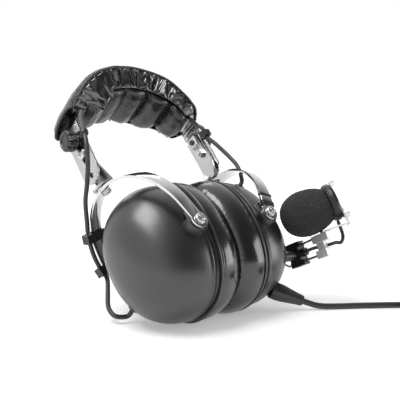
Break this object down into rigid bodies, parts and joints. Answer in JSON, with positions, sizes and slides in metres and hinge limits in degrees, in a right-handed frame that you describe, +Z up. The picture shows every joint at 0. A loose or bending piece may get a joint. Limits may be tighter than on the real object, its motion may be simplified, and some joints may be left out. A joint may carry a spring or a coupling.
{
  "type": "aviation headset",
  "caption": "Passive aviation headset with sealed ear cups on chrome stirrups, padded sprung headband, wire boom microphone and a straight cord with twin plugs.",
  "frame": {"origin": "on the surface the headset stands on, under the middle of its box without the free cord", "axes": "+X across the head towards the wearer's left cup, -Y the side that the wearer faces, +Z up; the headset leans back 39 degrees on its cups"},
  "size_m": [0.2939, 0.2939, 0.1916],
  "materials": {
    "shell_black": "satin black moulding with a soft sheen",
    "inner_plastic": "matt dark grey moulding",
    "speaker_steel": "dark pressed basket and magnet",
    "liner_foam": "open dark foam",
    "seal_vinyl": "glossy black vinyl",
    "chrome_small": "polished",
    "stirrup_chrome": "polished chrome plate",
    "arm_steel": "brushed stainless strip",
    "bolt_steel": "bright zinc plate",
    "knob_black": "fluted black moulding",
    "spring_steel": "spring steel strip",
    "cover_leather": "grained black leather with stitched piping",
    "cushion_leather": "fine-grained matt dark leather over foam",
    "cable_rubber": "dark grey flexible cable",
    "clip_black": "black moulding",
    "block_black": "black moulding",
    "wire_chrome": "polished wire",
    "bracket_metal": "bright metal",
    "windscreen_foam": "dark open-cell foam",
    "relief_rubber": "smooth black rubber",
    "cord_rubber": "dark grey jacket",
    "plug_black": "black grip, nickel-plated pin"
  },
  "bodies": {
    "left_cup": {"left_cup_shell": "shell_black", "left_baffle": "inner_plastic", "left_speaker": "speaker_steel", "left_liner": "liner_foam", "left_ear_seal": "seal_vinyl", "left_pivot_screws": "chrome_small", "left_retainers": "chrome_small", "left_grommet": "clip_black", "boom_post": "knob_black", "strain_relief": "relief_rubber", "main_cord": "cord_rubber", "cord_coil": "cord_rubber", "y_junction": "relief_rubber", "phone_lead": "cord_rubber", "mic_lead": "cord_rubber", "phone_plug": "plug_black", "mic_plug": "plug_black"},
    "left_stirrup": {"left_stirrup": "stirrup_chrome"},
    "left_arm": {"left_yoke_arm": "arm_steel", "left_swivel_bolt": "bolt_steel", "left_guide_bolt": "bolt_steel", "left_clamp_nut": "bolt_steel"},
    "left_knob": {"left_clamp_knob": "knob_black"},
    "headband": {"left_slot_plate": "arm_steel", "headband_spring": "spring_steel", "pad_cover": "cover_leather", "pad_cushions": "cushion_leather", "left_cable": "cable_rubber", "left_cable_clip": "clip_black"},
    "headband_right_end": {"right_slot_plate": "arm_steel", "right_cable_upper": "cable_rubber"},
    "right_arm": {"right_yoke_arm": "arm_steel", "right_swivel_bolt": "bolt_steel", "right_guide_bolt": "bolt_steel", "right_clamp_nut": "bolt_steel"},
    "right_knob": {"right_clamp_knob": "knob_black"},
    "right_stirrup": {"right_stirrup": "stirrup_chrome", "right_stirrup_clips": "clip_black", "right_cable_lower": "cable_rubber"},
    "right_cup": {"right_cup_shell": "shell_black", "right_baffle": "inner_plastic", "right_speaker": "speaker_steel", "right_liner": "liner_foam", "right_ear_seal": "seal_vinyl", "right_pivot_screws": "chrome_small", "right_retainers": "chrome_small", "right_grommet": "clip_black"},
    "boom_block": {"boom_block": "block_black"},
    "boom_wire": {"boom_wire": "wire_chrome", "boom_clamp": "bracket_metal", "boom_cable": "cable_rubber"},
    "mic": {"mic_bracket": "bracket_metal", "mic_body": "block_black", "mic_windscreen": "windscreen_foam", "mic_cable": "cable_rubber"}
  },
  "joints": [
    {"name": "left_tilt", "type": "hinge", "parent": "left_cup", "child": "left_stirrup", "pos_m": [0.0226, -0.026, 0.0468], "axis": [0, 0.7771, -0.6293], "range_deg": [-15, 15], "deforming": ["left_ear_seal", "right_ear_seal", "left_cable"]},
    {"name": "left_swivel", "type": "hinge", "parent": "left_stirrup", "child": "left_arm", "pos_m": [0.04386, 0.01352, 0.09561], "axis": [0.3206, 0.5961, 0.7361], "range_deg": [-12, 12], "deforming": ["left_ear_seal", "right_ear_seal", "left_cable"]},
    {"name": "left_knob_turn", "type": "hinge", "parent": "left_arm", "child": "left_knob", "pos_m": [0.0463, 0.04058, 0.12902], "axis": [1, 0, 0], "continuous": true},
    {"name": "left_height", "type": "slide", "parent": "left_arm", "child": "headband", "axis": [0, 0.6293, 0.7771], "range_m": [0, 0.019], "deforming": ["left_cable"]},
    {"name": "headband_flex", "type": "hinge", "parent": "headband", "child": "headband_right_end", "pos_m": [-0.013, 0.07381, 0.17006], "axis": [0, 0.7771, -0.6293], "range_deg": [0, 50], "stiffness_Nm_per_rad": 1.4, "springref_deg": -14.32, "deforming": ["headband_spring", "pad_cover", "pad_cushions"]},
    {"name": "right_height", "type": "slide", "parent": "headband_right_end", "child": "right_arm", "axis": [0, -0.6293, -0.7771], "range_m": [0, 0.019], "deforming": ["right_cable_upper"]},
    {"name": "right_knob_turn", "type": "hinge", "parent": "right_arm", "child": "right_knob", "pos_m": [-0.0723, 0.04058, 0.12902], "axis": [-1, 0, 0], "continuous": true},
    {"name": "right_swivel", "type": "hinge", "parent": "right_arm", "child": "right_stirrup", "pos_m": [-0.06986, 0.01352, 0.09561], "axis": [-0.3206, 0.5961, 0.7361], "range_deg": [-12, 12], "deforming": ["left_ear_seal", "right_ear_seal", "right_cable_upper"]},
    {"name": "right_tilt", "type": "hinge", "parent": "right_stirrup", "child": "right_cup", "pos_m": [-0.0486, -0.026, 0.0468], "axis": [0, 0.7771, -0.6293], "range_deg": [-15, 15], "deforming": ["left_ear_seal", "right_ear_seal", "right_cable_lower"]},
    {"name": "boom_pivot", "type": "hinge", "parent": "left_cup", "child": "boom_block", "pos_m": [0.0675, -0.0558, 0.0394], "axis": [1, 0, 0], "range_deg": [-8, 60]},
    {"name": "boom_reach", "type": "slide", "parent": "boom_block", "child": "boom_wire", "axis": [0, 0.91, -0.4147], "range_m": [0, 0.004], "deforming": ["boom_cable"]},
    {"name": "mic_swivel", "type": "hinge", "parent": "boom_wire", "child": "mic", "pos_m": [0.0685, -0.08437, 0.05242], "axis": [0, 0.4147, 0.91], "range_deg": [-60, 40], "deforming": ["mic_cable"]}
  ]
}
